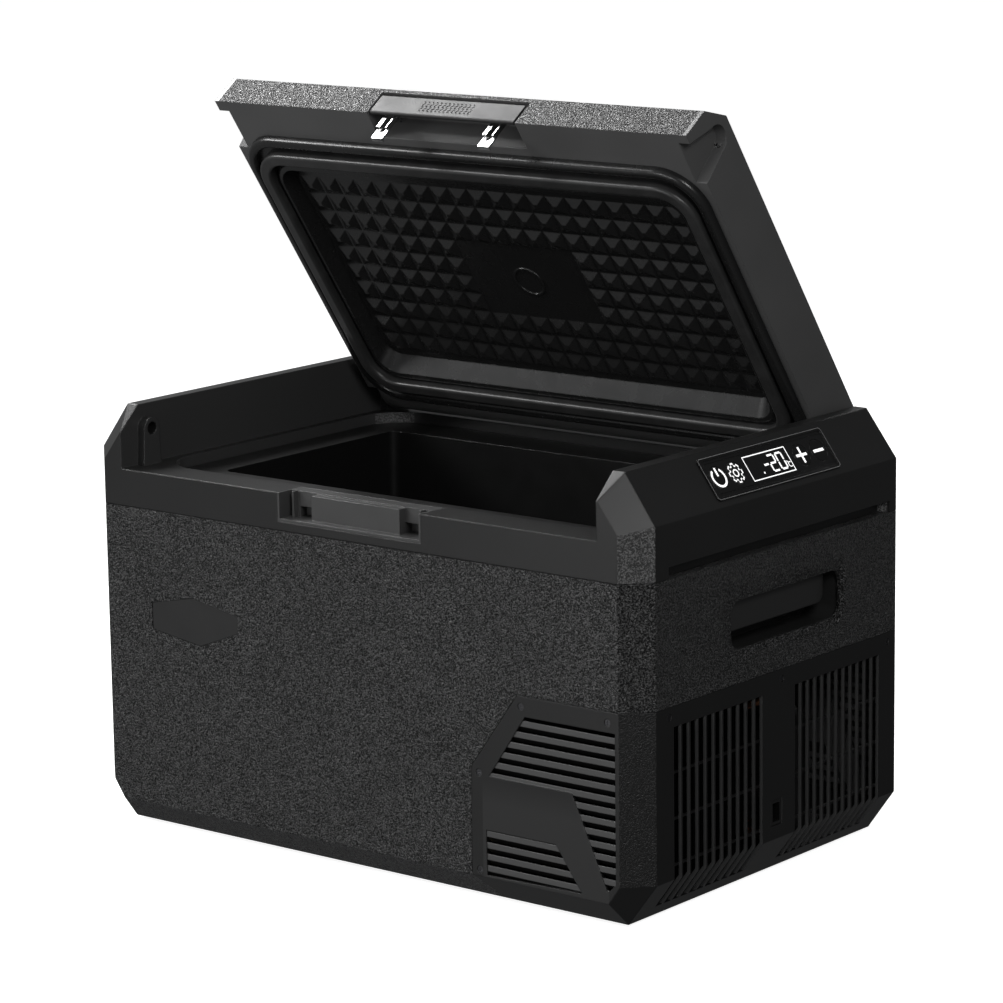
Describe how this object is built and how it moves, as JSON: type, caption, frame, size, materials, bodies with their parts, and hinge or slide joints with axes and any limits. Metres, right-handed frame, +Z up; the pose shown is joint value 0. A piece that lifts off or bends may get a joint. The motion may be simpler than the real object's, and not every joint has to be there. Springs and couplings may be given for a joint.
{
  "type": "compressor cooler fridge",
  "caption": "Portable compressor cooler fridge: faceted insulated cabinet, hinged lid with seal and latch, control panel, side grips and louvred vents.",
  "frame": {"origin": "centre of the base on the floor, under the four feet", "axes": "+X towards the side with the vents, power inlet and control panel, -Y towards the latch, +Z up; the longest horizontal side runs along X"},
  "size_m": [0.6, 0.388, 0.6458],
  "materials": {
    "shell_textured": "leather grain",
    "frame_plastic": "fine grain with satin edges",
    "lid_plastic": "leather grain",
    "vent_plastic": "satin",
    "cup_plastic": "satin",
    "badge_plate": "satin",
    "tub_liner": "satin",
    "lid_liner_black": "semi gloss",
    "seal_rubber": "matt",
    "foot_rubber": "matt",
    "foam": "closed-cell",
    "black_nylon": "satin",
    "latch_plastic": "satin",
    "hook_steel": "plated",
    "pin_steel": "ground",
    "spring_steel": "drawn wire",
    "screw_steel": "blackened",
    "bezel_plastic": "semi gloss",
    "panel_acrylic": "polished",
    "button_plastic": "polished",
    "circuit_board": "solder mask",
    "socket_plastic": "satin",
    "contact_brass": "plated",
    "copper_tube": "drawn",
    "bare_aluminium": "mill",
    "galvanised_sheet": "zinc",
    "compressor_black": "semi gloss",
    "fan_plastic": "satin"
  },
  "bodies": {
    "cabinet": {"body_shell": "shell_textured", "badge_plate": "badge_plate", "handle_cup_right": "cup_plastic", "handle_cup_left": "cup_plastic", "inner_tub": "tub_liner", "evaporator_plate": "bare_aluminium", "evaporator_coil": "copper_tube", "cabinet_foam": "foam", "upper_frame": "frame_plastic", "latch_keeper": "black_nylon", "rim_foam": "foam", "hinge_pins": "pin_steel", "vent_cover": "vent_plastic", "cover_screws": "screw_steel", "dc_socket": "socket_plastic", "socket_pins": "contact_brass", "control_bezel": "bezel_plastic", "display_lens": "panel_acrylic", "display_board": "circuit_board", "bay_partition": "galvanised_sheet", "bay_floor_pan": "galvanised_sheet", "compressor": "compressor_black", "compressor_grommets": "foot_rubber", "compressor_bolts": "screw_steel", "condenser": "bare_aluminium", "fan_frame": "fan_plastic", "filter_drier": "copper_tube", "discharge_tube": "copper_tube", "liquid_tube": "copper_tube", "suction_tube": "copper_tube", "controller": "bare_aluminium", "wiring_loom": "black_nylon", "temperature_probe": "pin_steel", "feet": "foot_rubber"},
    "lid": {"lid_shell": "lid_plastic", "hinge_bushes": "black_nylon", "lid_liner": "lid_liner_black", "lid_gasket": "seal_rubber", "lid_foam": "foam", "latch_pins": "pin_steel", "latch_springs": "spring_steel"},
    "latch": {"latch_paddle": "latch_plastic", "latch_hooks": "hook_steel"},
    "power_button": {"power_button": "button_plastic"},
    "settings_button": {"settings_button": "button_plastic"},
    "plus_button": {"plus_button": "button_plastic"},
    "minus_button": {"minus_button": "button_plastic"},
    "fan": {"fan_rotor": "fan_plastic"}
  },
  "joints": [
    {"name": "lid_hinge", "type": "hinge", "parent": "cabinet", "child": "lid", "pos_m": [0, 0.1635, 0.353], "axis": [-1, 0, 0], "range_deg": [-55, 35]},
    {"name": "latch_pivot", "type": "hinge", "parent": "lid", "child": "latch", "pos_m": [0, -0.04749, 0.63253], "axis": [-1, 0, 0], "range_deg": [0, 22], "stiffness_Nm_per_rad": 0.05, "springref_deg": -20.05},
    {"name": "power_press", "type": "slide", "parent": "cabinet", "child": "power_button", "axis": [-0.8036, 0, -0.5952], "range_m": [0, 0.0008], "stiffness_N_per_m": 300, "springref_m": -0.0005},
    {"name": "settings_press", "type": "slide", "parent": "cabinet", "child": "settings_button", "axis": [-0.8036, 0, -0.5952], "range_m": [0, 0.0008], "stiffness_N_per_m": 300, "springref_m": -0.0005},
    {"name": "plus_press", "type": "slide", "parent": "cabinet", "child": "plus_button", "axis": [-0.8036, 0, -0.5952], "range_m": [0, 0.0008], "stiffness_N_per_m": 300, "springref_m": -0.0005},
    {"name": "minus_press", "type": "slide", "parent": "cabinet", "child": "minus_button", "axis": [-0.8036, 0, -0.5952], "range_m": [0, 0.0008], "stiffness_N_per_m": 300, "springref_m": -0.0005},
    {"name": "fan_spin", "type": "hinge", "parent": "cabinet", "child": "fan", "pos_m": [0.245, -0.088, 0.095], "axis": [1, 0, 0], "continuous": true}
  ]
}
